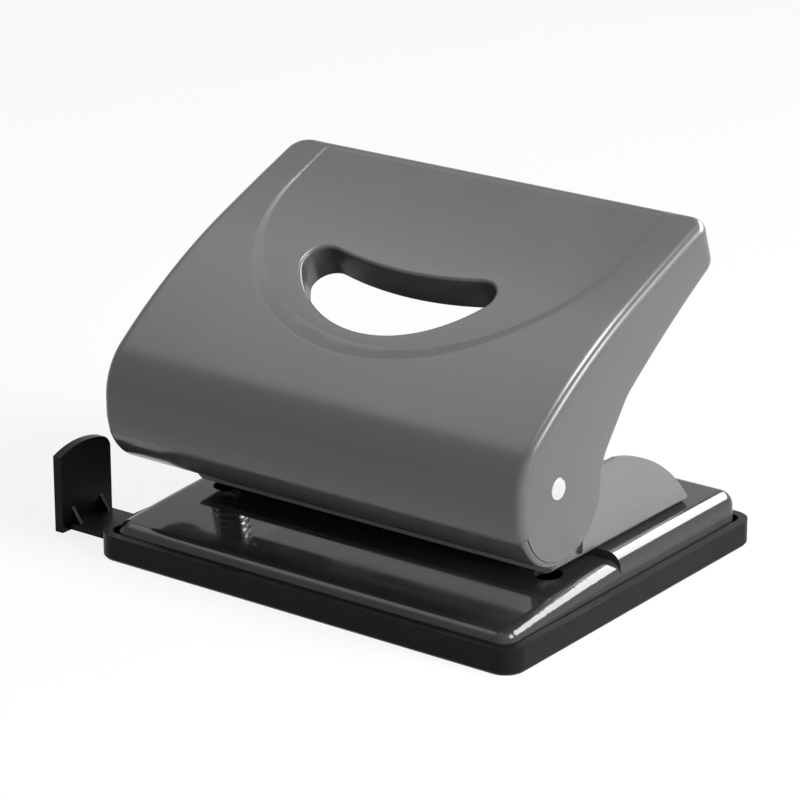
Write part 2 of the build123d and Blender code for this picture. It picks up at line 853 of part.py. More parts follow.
os.makedirs("parts", exist_ok=True)
write("chip_tray", chip_tray())
write("base_plate", base_plate())
write("punch_frame", punch_frame())
write("frame_rivets", frame_rivets())
write("guide_bridge", guide_bridge())
write("paper_guide", paper_guide())
write("handle_cover", handle_cover())
write("handle_lever", handle_lever())
write("cover_screws", cover_screws())
write("press_bar", press_bar())
for side, x in (("left", -punch_x), ("right", punch_x)):
    spring, middle_line = return_spring(x)
    print(side, "return spring, least gap to itself in mm:", round(least_gap(middle_line), 3))
    write(f"{side}_return_spring", spring)
    write(f"{side}_punch", punch(x))
    write(f"{side}_retaining_clip", retaining_clip(x))
right_pin = pivot_pin()
right_washer = pivot_washer()
write("right_pivot_pin", right_pin)
write("left_pivot_pin", mirror(right_pin, Plane.YZ))
write("right_pivot_washer", right_washer)
write("left_pivot_washer", mirror(right_washer, Plane.YZ))
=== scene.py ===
from math import acos, atan2, ceil, cos, pi, radians, sin, tan

import bmesh
import bpy
import numpy as np
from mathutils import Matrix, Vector
from mathutils.geometry import delaunay_2d_cdt


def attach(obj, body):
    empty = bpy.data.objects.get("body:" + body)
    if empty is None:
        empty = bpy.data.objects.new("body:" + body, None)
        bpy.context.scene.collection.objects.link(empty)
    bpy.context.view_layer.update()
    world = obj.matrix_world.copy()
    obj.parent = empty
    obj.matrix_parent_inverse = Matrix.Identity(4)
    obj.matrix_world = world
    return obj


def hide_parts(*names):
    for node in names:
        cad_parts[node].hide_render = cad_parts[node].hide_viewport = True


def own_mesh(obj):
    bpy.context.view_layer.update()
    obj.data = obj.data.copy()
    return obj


# A two-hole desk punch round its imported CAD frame. Sizes are written in millimetres, in the
# frame of the CAD, and become metres when a mesh is made.
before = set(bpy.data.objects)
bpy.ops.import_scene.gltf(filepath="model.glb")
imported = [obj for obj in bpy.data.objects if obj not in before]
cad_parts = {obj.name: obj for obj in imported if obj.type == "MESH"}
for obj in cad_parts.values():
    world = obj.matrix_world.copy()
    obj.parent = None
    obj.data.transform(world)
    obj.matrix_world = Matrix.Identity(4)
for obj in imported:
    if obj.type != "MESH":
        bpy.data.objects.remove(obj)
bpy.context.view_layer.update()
MM = 0.001

# The handle cover's side view: y and z
ROLL = np.array([-26.3, 30.95])
ROLL_RADIUS = 13.9
PIVOT = np.array([-28.2, 33.3])
BROW = np.array([-35.4, 43.7])
FACE_MIDDLE = np.array([-3.0, 62.956])
CROWN = np.array([23.8, 73.6])
HEEL = CROWN + (3.3, -9.1)
HOLLOW = np.array([-4.2, 44.4])
NECK = np.array([-10.6, 36.1])
FACE_BULGE = 1.32
BACK_SAG = 0.7
BROW_ROUND = 10.0
HOLLOW_ROUND = 8.0
SEAM_Z = 25.8
BAND_END = radians(293.0)
BAND_RADIUS = 12.4

# The cover's walls, across the handle
SIDE = 50.9
SIDE_INNER = 48.9
EDGE_ROUND = 1.8
NOSE_CORNER = 4.5
SHEET = 2.2
BOSS_RADIUS = 5.0
BOSS_INNER = 46.3
PIN_HOLE = 2.25

# The D-shaped recess and the finger slot, drawn up the face from the brow
RECESS_CENTRE = 51.4
RECESS_RADIUS = 42.0
RECESS_DEPTH = 1.7
RECESS_TOP_DEPTH = 0.2
RECESS_FADE = (9.0, 64.0)
RECESS_END = 66.3
BEVEL_SLOPE = 0.36
DRAWING_S = 32.0
SLOT_HALF = 22.8
SLOT_BOTTOM = 16.6
SLOT_SHIFT = -1.2
SLOT_CENTRE = 30.4
SLOT_TOP = 33.3
SLOT_HORN = 36.9
SLOT_HORN_X = 22.3
SLOT_ROUND = 3.8
LIP_ROUND = 0.8
COLLAR_DEPTH = 8.0
COLLAR_WALL = 1.5
COLLAR_EDGE = 0.3

# How fine the cover's mesh is: counts of points, and distances in millimetres
FACE_SAMPLE = 40
SLOT_POINTS = 120
ACROSS_FACE = 43
AT_NOSE = 6
ROUND_STEPS = 6
BAND_STEPS = 30
SKIN_GAP = 0.9
NOSE_GAP = 0.35
EDGE_BAND = (-0.4, -0.12, 0.12, 0.4)
FOOT_BAND = (-0.45, -0.15, 0.15, 0.45)
BEVEL_LEAST = 0.9
# A skin faces the drawing plane where the cosine between them is above this
FACING = 0.9
# Two lines that turn by more than this, in radians, meet at a corner
CORNER_TURN = 0.05


# Curves in a plane, as arrays of close points

def turned(v):
    """The direction to the left of v."""
    return np.array([-v[1], v[0]])


def unit(v):
    return v / np.linalg.norm(v)


def line(a, b, step=0.2):
    count = max(2, ceil(np.linalg.norm(np.subtract(b, a)) / step) + 1)
    return np.linspace(a, b, count)


def circle_arc(centre, radius, start, end, step=0.2):
    count = max(3, ceil(abs(end - start) * radius / step) + 1)
    angles = np.linspace(start, end, count)
    return np.array(centre) + radius * np.column_stack([np.cos(angles), np.sin(angles)])


def tangent_arc(start, way, end, step=0.2):
    """The arc that leaves start along way and reaches end."""
    start, end, way = np.array(start, float), np.array(end, float), unit(np.array(way, float))
    chord = end - start
    side = turned(way)
    radius = chord @ chord / (2 * (chord @ side))
    centre = start + side * radius
    first = atan2(*(start - centre)[::-1])
    sweep = 2 * atan2(chord @ side, chord @ way)
    return circle_arc(centre, abs(radius), first, first + sweep, step)


def raised_arc(start, end, rise):
    """An arc between two points, raised by rise to the left of its chord."""
    chord = end - start
    half = np.linalg.norm(chord) / 2
    radius = (half ** 2 + rise ** 2) / (2 * rise)
    centre = (start + end) / 2 + turned(unit(chord)) * (rise - radius)
    first, last = [atan2(*(p - centre)[::-1]) for p in (start, end)]
    return circle_arc(centre, radius, first, last)


def end_way(curve):
    return unit(curve[-1] - curve[-2])


def lengths(curve):
    """How far along the curve each of its points lies."""
    return np.concatenate([[0.0], np.cumsum(np.linalg.norm(np.diff(curve, axis=0), axis=1))])


def trimmed(curve, start=0.0, end=0.0):
    """The curve without its first and last lengths."""
    along = lengths(curve)
    low, high = start, along[-1] - end
    inside = curve[(along > low + 1e-6) & (along < high - 1e-6)]
    ends = [[np.interp(at, along, curve[:, 0]), np.interp(at, along, curve[:, 1])] for at in (low, high)]
    return np.vstack([ends[0], inside, ends[1]])


def rounded(first, second, radius):
    """Two curves that meet at a corner, joined by an arc of that radius."""
    before, after = end_way(first), unit(second[1] - second[0])
    turn = acos(np.clip(before @ after, -1, 1))
    back = radius * tan(turn / 2)
    first, second = trimmed(first, end=back), trimmed(second, start=back)
    before, after = end_way(first), unit(second[1] - second[0])
    reach = 4 / 3 * tan(turn / 4) * radius
    a, d = first[-1], second[0]
    b, c = a + before * reach, d - after * reach
    t = np.linspace(0, 1, max(6, ceil(radius * turn / 0.15)))[1:-1, None]
    bend = a * (1 - t) ** 3 + 3 * b * t * (1 - t) ** 2 + 3 * c * t ** 2 * (1 - t) + d * t ** 3
    return np.vstack([first, bend, second])


def crossing(first, second):
    """First and second cut off where they cross, and joined there."""
    for i in range(len(first) - 1, 0, -1):
        a, u = first[i - 1], first[i] - first[i - 1]
        for j in range(len(second) - 1):
            b, v = second[j], second[j + 1] - second[j]
            cross = u[0] * v[1] - u[1] * v[0]
            if abs(cross) < 1e-12:
                continue
            w = b - a
            s = (w[0] * v[1] - w[1] * v[0]) / cross
            t = (w[0] * u[1] - w[1] * u[0]) / cross
            if 0 <= s <= 1 and 0 <= t <= 1:
                return np.vstack([first[:i], a + s * u, second[j + 1:]])
    raise ValueError("the curves don't cross")


def normals(curve):
    """The outward direction at each point of a curve that keeps the outside on its left."""
    way = np.gradient(curve, axis=0)
    way /= np.linalg.norm(way, axis=1)[:, None]
    return np.column_stack([-way[:, 1], way[:, 0]])


def offset(curve, distance):
    """The curve moved inward."""
    return curve - distance * normals(curve)


SEAM_ANGLE = pi + np.arcsin((ROLL[1] - SEAM_Z) / ROLL_RADIUS)


def front_pieces():
    """The cover's front in side view, from the seam up, in three curves with corners between."""
    lower = circle_arc(ROLL, ROLL_RADIUS, SEAM_ANGLE, pi)
    upright = line(lower[-1], (lower[-1][0], PIVOT[1]))
    to_brow = tangent_arc(upright[-1], (0, 1), BROW)
    face = raised_arc(BROW, FACE_MIDDLE, FACE_BULGE)
    face = np.vstack([face, tangent_arc(FACE_MIDDLE, end_way(face), CROWN)[1:]])
    return np.vstack([lower, upright[1:], to_brow[1:]]), face, line(CROWN, HEEL)


def back_curve():
    """The side view from the heel down the hollow and round the roll to the end of the band."""
    neck = tangent_arc(ROLL + (ROLL_RADIUS, 0), (0, 1), NECK)
    under = rounded(raised_arc(HOLLOW, HEEL, BACK_SAG)[::-1], line(HOLLOW, NECK), HOLLOW_ROUND)
    return np.vstack([under, neck[-2::-1], circle_arc(ROLL, ROLL_RADIUS, 0, BAND_END - 2 * pi)[1:]])


END_OUT = turned(unit(CROWN - HEEL)) * -1


class Profile:
    """A curve in side view that a skin follows across the handle."""

    def __init__(self, curve):
        self.curve = curve
        self.along = lengths(curve)
        self.out = normals(curve)
        self.length = self.along[-1]

    def at(self, v):
        point = np.array([np.interp(v, self.along, self.curve[:, k]) for k in (0, 1)])
        out = unit(np.array([np.interp(v, self.along, self.out[:, k]) for k in (0, 1)]))
        return point, out

    def stations(self, longest=2.4, at_nose=0.5, most_turn=radians(7)):
        """Places along the curve, closer together where it bends and near the handle's end."""
        angle = np.unwrap(np.arctan2(self.out[:, 1], self.out[:, 0]))
        bend = np.concatenate([[0.0], np.cumsum(np.abs(np.diff(angle)))])
        near = (CROWN - self.curve[1:]) @ END_OUT < NOSE_CORNER
        steps = np.diff(self.along) / np.where(near, at_nose, longest)
        load = np.concatenate([[0.0], np.cumsum(steps)]) + bend / most_turn
        count = max(2, ceil(load[-1]) + 1)
        return np.interp(np.linspace(0, load[-1], count), load, self.along)


lower_piece, face_piece, end_piece = front_pieces()
back_piece = back_curve()
face_middle = Profile(face_piece)
DRAW_POINT, DRAW_OUT = face_middle.at(DRAWING_S)
DRAW_UP = -turned(DRAW_OUT)

whole = rounded(rounded(lower_piece, face_piece, BROW_ROUND), end_piece, EDGE_ROUND)
whole = rounded(whole, back_piece, EDGE_ROUND)
# The inner side of the end wall, drawn on past the heel so that it crosses the back curve
PAST_HEEL = 6.0
end_inner = offset(line(CROWN, HEEL + PAST_HEEL * unit(HEEL - CROWN)), SHEET)
inner_front = crossing(crossing(offset(lower_piece, SHEET), offset(face_piece, SHEET)), end_inner)


def split_at_end_wall():
    """The outline cut where the end wall's inner side meets it: the front, the rest, the inner path."""
    start = np.argmax(whole[:, 0])
    for i in range(start, len(whole) - 1):
        a, u = whole[i], whole[i + 1] - whole[i]
        b, v = end_inner[0], end_inner[-1] - end_inner[0]
        cross = u[0] * v[1] - u[1] * v[0]
        s = ((b - a)[0] * v[1] - (b - a)[1] * v[0]) / cross
        if 0 <= s <= 1:
            corner = a + s * u
            break
    front = np.vstack([whole[:i + 1], corner])
    back = np.vstack([corner, whole[i + 1:]])
    keep = (inner_front - corner) @ unit(HEEL - CROWN) < -0.05
    return front, back, np.vstack([inner_front[keep], corner])


front_curve, rest_curve, inner_curve = split_at_end_wall()
OUTER, REST, INNER = Profile(front_curve), Profile(rest_curve), Profile(inner_curve)


def up_the_drawing(profile):
    """For a profile, the places along it on the face and how high they lie in the drawing plane."""
    rise = (profile.curve - DRAW_POINT) @ DRAW_UP
    facing = profile.out @ DRAW_OUT > FACING
    return profile.along[facing], rise[facing]


def place_on(profile, rise):
    along, rises = up_the_drawing(profile)
    return np.interp(rise, rises, along)


# How far up the outer profile the face's own lengths start, found at a point clear of the brow
sample_rise = (face_piece[FACE_SAMPLE] - DRAW_POINT) @ DRAW_UP
FACE_START = place_on(OUTER, sample_rise) - lengths(face_piece)[FACE_SAMPLE]


def recess_floor(s):
    """How deep the recess is at s up the face, away from its edge."""
    fade = (1 - np.clip((s - RECESS_FADE[0]) / (RECESS_FADE[1] - RECESS_FADE[0]), 0, 1)) ** 2
    depth = RECESS_TOP_DEPTH + (RECESS_DEPTH - RECESS_TOP_DEPTH) * fade
    return depth * np.clip((RECESS_END - s) / (RECESS_END - RECESS_FADE[1]), 0, 1)


def inside_recess(x, s):
    """How far a point of the face lies inside the recess's edge."""
    return RECESS_RADIUS - (np.hypot(x, s - RECESS_CENTRE) if s < RECESS_CENTRE else abs(x))


def depth_at(x, v):
    s = v - FACE_START
    if s < 0 or s > RECESS_END:
        return 0.0
    return max(0.0, min(BEVEL_SLOPE * inside_recess(x, s), recess_floor(s)))


def recess_line(inset, step=1.1):
    """A line at that distance inside the recess's edge, from the left end over the foot to the right."""
    radius = RECESS_RADIUS - inset
    up = np.arange(RECESS_END, RECESS_CENTRE, -step)
    foot = circle_arc((0, RECESS_CENTRE), radius, pi, 2 * pi, step)
    left = [(-radius, s) for s in up]
    return np.array(left + [tuple(p) for p in foot] + [(-x, s) for x, s in left[::-1]])


def slot_outline():
    """The slot in the drawing plane as a closed, evenly spaced curve with the slot on its right."""
    base, low, horn, mid = [s - DRAWING_S for s in (SLOT_CENTRE, SLOT_BOTTOM, SLOT_HORN, SLOT_TOP)]

    def through(a, b, c):
        chord = np.subtract(c, a)
        half, rise = np.linalg.norm(chord) / 2, abs(b[1] - a[1])
        radius = (half ** 2 + rise ** 2) / (2 * rise)
        up = 1 if b[1] < a[1] else -1
        centre = np.array([0.0, b[1] + up * radius])
        first, last = [atan2(*(np.array(p) - centre)[::-1]) for p in (a, c)]
        if up > 0 and last < first:
            last += 2 * pi
        return circle_arc(centre, radius, first, last)

    bottom = through((-SLOT_HALF, base), (0, low), (SLOT_HALF, base))
    right = line((SLOT_HALF, base), (SLOT_HORN_X, horn))
    top = through((-SLOT_HORN_X, horn), (0, mid), (SLOT_HORN_X, horn))[::-1]
    left = line((-SLOT_HORN_X, horn), (-SLOT_HALF, base))
    half = len(bottom) // 2
    ring = bottom[half:]
    for piece in (right, top, left, bottom[:half + 1]):
        if len(ring) and np.allclose(ring[-1], piece[0]):
            before, after = end_way(ring), unit(piece[1] - piece[0])
            corner = acos(np.clip(before @ after, -1, 1)) > CORNER_TURN
            ring = rounded(ring, piece, SLOT_ROUND) if corner else np.vstack([ring, piece[1:]])
    along = lengths(ring)
    places = np.linspace(0, along[-1], SLOT_POINTS + 1)[:-1]
    ring = np.column_stack([np.interp(places, along, ring[:, k]) for k in (0, 1)]) + (SLOT_SHIFT, 0)
    way = np.roll(ring, -1, axis=0) - np.roll(ring, 1, axis=0)
    way /= np.linalg.norm(way, axis=1)[:, None]
    return ring, np.column_stack([way[:, 1], -way[:, 0]])


SLOT, SLOT_OUT = slot_outline()


class Mesh:
    """Faces gathered patch by patch, then welded into one closed mesh."""

    def __init__(self):
        self.points = []
        self.faces = []

    def add(self, points, faces):
        start = len(self.points)
        self.points += [tuple(p) for p in points]
        self.faces += [tuple(start + i for i in face) for face in faces]

    def strip(self, rings, closed=False):
        """Quads between rings of points, one after the other."""
        count = len(rings[0])
        cells = count if closed else count - 1
        quads = []
        for low in range(0, (len(rings) - 1) * count, count):
            for i in range(cells):
                after = (i + 1) % count
                quads.append((low + i, low + after, low + count + after, low + count + i))
        self.add([p for ring in rings for p in ring], quads)

    def mirrored(self, other):
        """Adds another mesh as it is, and once more with its x turned round."""
        self.add(other.points, other.faces)
        self.add([(-x, y, z) for x, y, z in other.points], [face[::-1] for face in other.faces])

    def build(self, name, smooth=35):
        data = bpy.data.meshes.new(name)
        data.from_pydata([(x * MM, y * MM, z * MM) for x, y, z in self.points], [], self.faces)
        work = bmesh.new()
        work.from_mesh(data)
        bmesh.ops.remove_doubles(work, verts=work.verts, dist=2e-6)
        bmesh.ops.dissolve_degenerate(work, edges=work.edges, dist=1e-7)
        bmesh.ops.recalc_face_normals(work, faces=work.faces)
        work.to_mesh(data)
        work.free()
        data.shade_smooth()
        data.set_sharp_from_angle(angle=radians(smooth))
        piece = bpy.data.objects.new(name, data)
        bpy.context.scene.collection.objects.link(piece)
        return piece


def in_polygon(point, polygon):
    x, y = point
    ax, ay = polygon[:, 0], polygon[:, 1]
    bx, by = np.roll(ax, -1), np.roll(ay, -1)
    spans = (ay > y) != (by > y)
    with np.errstate(divide="ignore", invalid="ignore"):
        reach = ax + (y - ay) * (bx - ax) / (by - ay)
    return bool(np.count_nonzero(spans & (x < reach)) % 2)


def triangles(loops, lines, loose, boundary=None, holes=()):
    """Triangles over closed loops, open lines and loose points, inside boundary and outside holes."""
    points, edges = [], []
    for curve, closed in [(c, True) for c in loops] + [(c, False) for c in lines]:
        start, count = len(points), len(curve)
        points += [Vector((float(p[0]), float(p[1]))) for p in curve]
        edges += [(start + i, start + (i + 1) % count) for i in range(count if closed else count - 1)]
    points += [Vector((float(p[0]), float(p[1]))) for p in loose]
    found, _, faces, *_ = delaunay_2d_cdt(points, edges, [], 0, 1e-5)
    kept = []
    for face in faces:
        centre = sum((found[i] for i in face), Vector((0, 0))) / len(face)
        outside = boundary is not None and not in_polygon(centre, boundary)
        if not outside and not any(in_polygon(centre, hole) for hole in holes):
            kept.append(tuple(face))
    return [tuple(p) for p in found], kept


def far_from(points, curves, gap):
    """The points that stay at least gap away from the curves."""
    others = np.vstack(curves)
    return [p for p in points if np.min(np.hypot(others[:, 0] - p[0], others[:, 1] - p[1])) > gap]


def skin(mesh, profile, columns, rows, hole, depth, lines=()):
    """The skin over a profile with a hole in it, pressed in by depth(x, v)."""
    side = columns[-1]
    border = [(x, rows[0]) for x in columns] + [(side, v) for v in rows[1:-1]]
    border += [(x, rows[-1]) for x in columns[::-1]] + [(-side, v) for v in rows[-2:0:-1]]
    inner = [(x, v) for x in columns[2:-2] for v in rows[1:-1] if not in_polygon((x, v), hole)]
    inner = far_from(inner, [hole, *lines] if len(lines) else [hole], SKIN_GAP)
    flat, faces = triangles([np.array(border), hole], lines, inner, holes=[hole])
    solid = []
    for x, v in flat:
        point, out = profile.at(v)
        y, z = point - out * depth(x, v)
        solid.append((x, y, z))
    mesh.add(solid, faces)


def slot_on(profile, grow):
    """The slot's outline, set out by grow, on a skin: x across and v along its profile."""
    ring = SLOT + SLOT_OUT * grow
    return np.column_stack([ring[:, 0], place_on(profile, ring[:, 1])])


def slot_ring(profile, grow, sink, depth):
    """Points round the slot, set out by grow and sunk by sink along the drawing's normal."""
    points = []
    for x, v in slot_on(profile, grow):
        point, out = profile.at(v)
        y, z = point - out * depth(x, v) - DRAW_OUT * sink
        points.append((x, y, z))
    return points


def polar(radius, angle, x):
    y, z = ROLL + radius * np.array([cos(angle), sin(angle)])
    return (x, y, z)


def ring_points(x, radius, count=40):
    angles = np.linspace(0, 2 * pi, count, endpoint=False)
    return [(x, PIVOT[0] + radius * cos(a), PIVOT[1] + radius * sin(a)) for a in angles]


def nose_rounded(point):
    """The point moved so that the end's square corners become round ones, seen square to the face."""
    x, y, z = point
    a, b = SIDE - abs(x), (CROWN - (y, z)) @ END_OUT
    far_side = max(a, b)
    if far_side >= NOSE_CORNER:
        return point
    small, big = EDGE_ROUND, NOSE_CORNER
    turn = 0.0
    if far_side < small:
        inset = small - float(np.hypot(small - a, small - b))
        turn = atan2(small - far_side, small - min(a, b))
    else:
        inset = min(a, b)
    bend = max(small - inset, 0.0)
    straight = big - max(small, inset)
    share = (big - max(far_side, small, inset) + bend * turn) / max(straight + bend * pi / 4, 1e-6)
    angle = pi / 4 * min(share, 1.0)
    near, along = big - (big - inset) * cos(angle), big - (big - inset) * sin(angle)
    new_a, new_b = (near, along) if a <= b else (along, near)
    y, z = np.array([y, z]) + (b - new_b) * END_OUT
    return (float(np.sign(x)) * (SIDE - new_a), y, z)


def nose_points(loop):
    """Loose points on a side wall near the handle's end, inside the loop."""
    down = unit(HEEL - CROWN)
    inward = np.arange(EDGE_ROUND + 0.3, NOSE_CORNER + 0.5, 0.5)
    along = np.arange(0.5, 15.0, 0.8)
    rows = [CROWN - END_OUT * b + down * t for b in inward for t in along]
    return far_from([p for p in rows if in_polygon(p, loop)], [loop], NOSE_GAP)


# The mesh attribute that marks the slot's wall, where the cover's paint gets painted shade
PAINTED_SHADE_MARK = "slot_wall"
# A point belongs to the slot's wall when it is nearer to the outline than this share of the lip
WALL_SHARE = 0.12


def mark_painted_shade_wall(shell):
    """Marks the points of the slot's wall, below its rounded lip, where the paint is darkened as painted
    shade.
    """
    mask = shell.data.attributes.new(PAINTED_SHADE_MARK, "FLOAT", "POINT")
    reach, deepest = SLOT_HALF + 1, COLLAR_DEPTH + 1
    for vertex in shell.data.vertices:
        x, y, z = vertex.co / MM
        across = ((y, z) - DRAW_POINT) @ DRAW_UP
        below = (DRAW_POINT - (y, z)) @ DRAW_OUT
        if abs(x) > reach or abs(below) > deepest or abs(across) > reach:
            continue
        away = np.min(np.hypot(SLOT[:, 0] - x, SLOT[:, 1] - across))
        if away < WALL_SHARE * LIP_ROUND:
            mask.data[vertex.index].value = 1.0


def no_depth(x, v):
    return 0.0


def recess_bands():
    """Lines on both sides of the recess's edge and of its bevel's foot, which keep these crisp."""
    bands = [recess_line(inset) for inset in EDGE_BAND]
    for shift in FOOT_BAND:
        foot = []
        for x, s in recess_line(0.0):
            width = max(recess_floor(min(s, RECESS_FADE[1])) / BEVEL_SLOPE, BEVEL_LEAST) + shift
            radius = RECESS_RADIUS - width
            if s < RECESS_CENTRE:
                x = x * radius / RECESS_RADIUS
                s = RECESS_CENTRE - (RECESS_CENTRE - s) * radius / RECESS_RADIUS
            else:
                x = np.sign(x) * radius
            foot.append((x, s))
        bands.append(np.array(foot))
    return [band + (0, FACE_START) for band in bands]


def add_collar(cover):
    """The slot's rounded lip, its wall and the outer side of the collar, up to the inner skin."""
    rings = [
        slot_ring(OUTER, LIP_ROUND * (1 - sin(a)), LIP_ROUND * (1 - cos(a)), depth_at)
        for a in np.linspace(0, pi / 2, ROUND_STEPS)
    ]
    bottom = DRAW_POINT - DRAW_OUT * COLLAR_DEPTH
    edge = COLLAR_EDGE
    for grow, lift in ((0, edge), (edge, 0), (COLLAR_WALL - edge, 0), (COLLAR_WALL, edge)):
        outline = SLOT + SLOT_OUT * grow
        rings.append([(x, *(bottom + DRAW_UP * t + DRAW_OUT * lift)) for x, t in outline])
    rings.append(slot_ring(INNER, COLLAR_WALL, 0, no_depth))
    cover.strip(rings, closed=True)


def add_seam(cover, columns):
    """The underside of the seam, between the outer and the inner skin."""
    seam = [polar(ROLL_RADIUS, SEAM_ANGLE, x) for x in columns]
    seam.append(polar(BAND_RADIUS, SEAM_ANGLE, SIDE_INNER))
    seam += [(x, *INNER.curve[0]) for x in columns[::-1]]
    seam.append(polar(BAND_RADIUS, SEAM_ANGLE, -SIDE_INNER))
    cover.add(seam, [tuple(range(len(seam)))])


def add_wall(mesh, x, loop, hole):
    """A flat side wall at x, inside the loop and outside the hole."""
    loop, hole = np.array(loop), np.array(hole)
    flat, faces = triangles([loop, hole], [], nose_points(loop), loop, [hole])
    mesh.add([(x, y, z) for y, z in flat], faces)


def right_side(rows, inner_rows):
    """The cover's right wall, with its rounded edge, the band round the roll, pin hole and boss."""
    right = Mesh()
    edge = SIDE - EDGE_ROUND
    back = [REST.at(v) for v in REST.stations()]
    rim = [OUTER.at(v) for v in rows] + back[1:]
    rounds = [
        [(edge + EDGE_ROUND * sin(a), *(p - n * EDGE_ROUND * (1 - cos(a)))) for p, n in rim]
        for a in np.linspace(0, pi / 2, ROUND_STEPS)
    ]
    right.strip(rounds)
    right.strip([[(x, *p) for p, _ in back] for x in (SIDE_INNER, edge)])
    band_angles = np.linspace(BAND_END, SEAM_ANGLE, BAND_STEPS)
    band = [[polar(BAND_RADIUS, a, x) for a in band_angles] for x in (SIDE_INNER, SIDE)]
    right.strip(band)
    for k, angle in ((0, SEAM_ANGLE), (-1, BAND_END)):
        cap = [(SIDE_INNER, *rounds[0][k][1:])] + [ring[k] for ring in rounds]
        cap += [polar(BAND_RADIUS, angle, SIDE), polar(BAND_RADIUS, angle, SIDE_INNER)]
        right.add(cap, [tuple(range(len(cap)))])

    outer_loop = [p[1:] for p in rounds[-1]] + [p[1:] for p in band[1]]
    add_wall(right, SIDE, outer_loop, [p[1:] for p in ring_points(SIDE, PIN_HOLE)])
    inner_loop = [tuple(INNER.at(v)[0]) for v in inner_rows] + [tuple(p) for p, _ in back[1:]]
    inner_loop += [p[1:] for p in band[0]]
    add_wall(right, SIDE_INNER, inner_loop, [p[1:] for p in ring_points(SIDE_INNER, BOSS_RADIUS)])
    right.strip([
        ring_points(SIDE, PIN_HOLE), ring_points(BOSS_INNER, PIN_HOLE),
        ring_points(BOSS_INNER, BOSS_RADIUS), ring_points(SIDE_INNER, BOSS_RADIUS),
    ], closed=True)
    return right


def make_cover():
    cover = Mesh()
    rows, inner_rows = OUTER.stations(), INNER.stations()
    nose_x, edge = SIDE - NOSE_CORNER, SIDE - EDGE_ROUND
    at_side = np.linspace(nose_x, SIDE_INNER, AT_NOSE)[1:]
    columns = np.concatenate([-at_side[::-1], np.linspace(-nose_x, nose_x, ACROSS_FACE), at_side])
    skin(cover, OUTER, np.concatenate([[-edge], columns, [edge]]), rows,
         slot_on(OUTER, LIP_ROUND), depth_at, recess_bands())
    skin(cover, INNER, columns, inner_rows, slot_on(INNER, COLLAR_WALL), no_depth)
    add_collar(cover)
    add_seam(cover, columns)
    cover.mirrored(right_side(rows, inner_rows))
    cover.points = [nose_rounded(point) for point in cover.points]
    shell = cover.build("cover_shell")
    mark_painted_shade_wall(shell)
    return shell


def tube(name, path, radius, sides=14):
    """A round wire along a path of points, closed at both ends."""
    path = np.array(path)
    way = np.gradient(path, axis=0)
    way /= np.linalg.norm(way, axis=1)[:, None]
    wire = Mesh()
    rings = []
    for point, forward in zip(path, way):
        side = unit(np.cross(forward, (0, 0, 1)))
        up = np.cross(side, forward)
        rings.append([
            tuple(point + radius * (cos(a) * side + sin(a) * up))
            for a in np.linspace(0, 2 * pi, sides, endpoint=False)
        ])
    wire.strip(rings, closed=True)
    wire.add(rings[0], [tuple(range(sides))])
    wire.add(rings[-1], [tuple(range(sides))])
    return wire.build(name, smooth=50)


# Springs: coils that sit on the punch frame round the punches, fixed to the root
SPRING_RADIUS = 3.55
SPRING_WIRE = 0.35
SPRING_LOW = 13.03
SPRING_HIGH = 23.17
SPRING_TURNS = 6
TURN_POINTS = 28
PUNCH_X = 40.0
PUNCH_Y = -14.9


def make_spring(name, x):
    turns = np.linspace(0, SPRING_TURNS, SPRING_TURNS * TURN_POINTS + 1)
    path = [
        (x + SPRING_RADIUS * cos(2 * pi * t), PUNCH_Y + SPRING_RADIUS * sin(2 * pi * t),
         SPRING_LOW + (SPRING_HIGH - SPRING_LOW) * t / SPRING_TURNS)
        for t in turns
    ]
    spring = tube(name + "_coil", path, SPRING_WIRE)
    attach(spring, "root")
    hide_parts(name)
    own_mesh(spring)
    return spring


# Materials

# The reflection level on the slot's wall, lowered as part of the painted shade there
PAINTED_SHADE_SPECULAR = 0.12
CLOUD_SCALE = 45.0
# The noise's middle values, between which colour and roughness change
NOISE_SPAN = (0.3, 0.7)


def noise_of(tree, vector, scale, detail):
    node = tree.nodes.new("ShaderNodeTexNoise")
    node.inputs["Scale"].default_value = scale
    node.inputs["Detail"].default_value = detail
    tree.links.new(vector, node.inputs["Vector"])
    return node.outputs["Fac"]


def mapped(tree, value, low, high, span=(0.0, 1.0), kind="LINEAR"):
    """The value carried from its span to the range from low to high."""
    node = tree.nodes.new("ShaderNodeMapRange")
    node.interpolation_type = kind
    node.inputs["From Min"].default_value, node.inputs["From Max"].default_value = span
    node.inputs["To Min"].default_value = low
    node.inputs["To Max"].default_value = high
    tree.links.new(value, node.inputs["Value"])
    return node.outputs["Result"]


